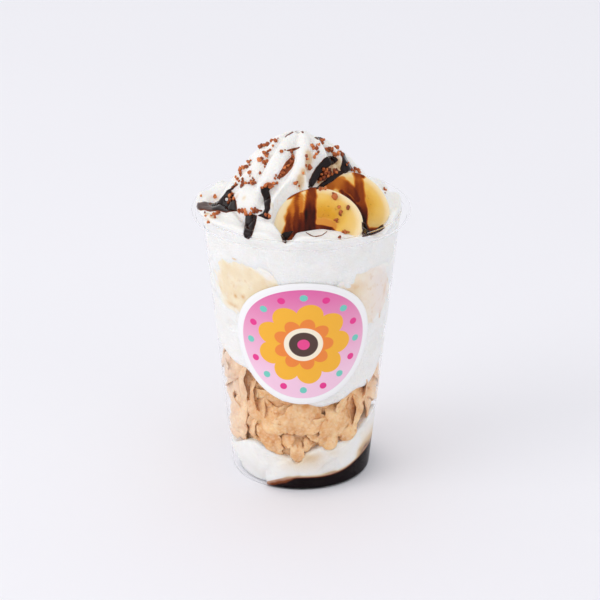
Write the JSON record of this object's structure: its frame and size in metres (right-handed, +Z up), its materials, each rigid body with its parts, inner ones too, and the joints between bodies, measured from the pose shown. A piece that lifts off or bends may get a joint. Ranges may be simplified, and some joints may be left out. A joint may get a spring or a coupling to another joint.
{
  "type": "chocolate banana parfait in a clear cup",
  "caption": "Layered parfait in a tall clear cup: chocolate sauce, whipped cream, cornflakes and banana slices, with a cream swirl, drizzle and crumbs above the rim.",
  "frame": {"origin": "middle of the cup's base, on the surface that it stands on", "axes": "+Z up along the cup's axis, -Y towards the sticker, +X to the right when the sticker is faced"},
  "size_m": [0.098, 0.098, 0.1616],
  "materials": {
    "clear_cup": "clear, smooth, thin thermoformed plastic",
    "chocolate_sauce": "wet, glossy, near black where it is thick and brown where it is thin",
    "whipped_cream": "soft, matt, slightly translucent",
    "cornflakes": "dry, blistered, toasted golden tan",
    "crumbs": "dry, crunchy, caramel brown",
    "banana": "moist, faintly glossy, darker at the middle",
    "label_paper": "printed paper sticker with a white edge"
  },
  "bodies": {
    "root": {"cup": "clear_cup", "sauce_base": "chocolate_sauce", "cream_base": "whipped_cream", "cornflakes": "cornflakes", "cream_middle": "whipped_cream", "banana_wall_1": "banana", "banana_wall_2": "banana", "banana_wall_3": "banana", "banana_wall_4": "banana", "banana_wall_5": "banana", "cream_top": "whipped_cream", "banana_front": "banana", "banana_back": "banana", "label": "label_paper"}
  },
  "joints": []
}
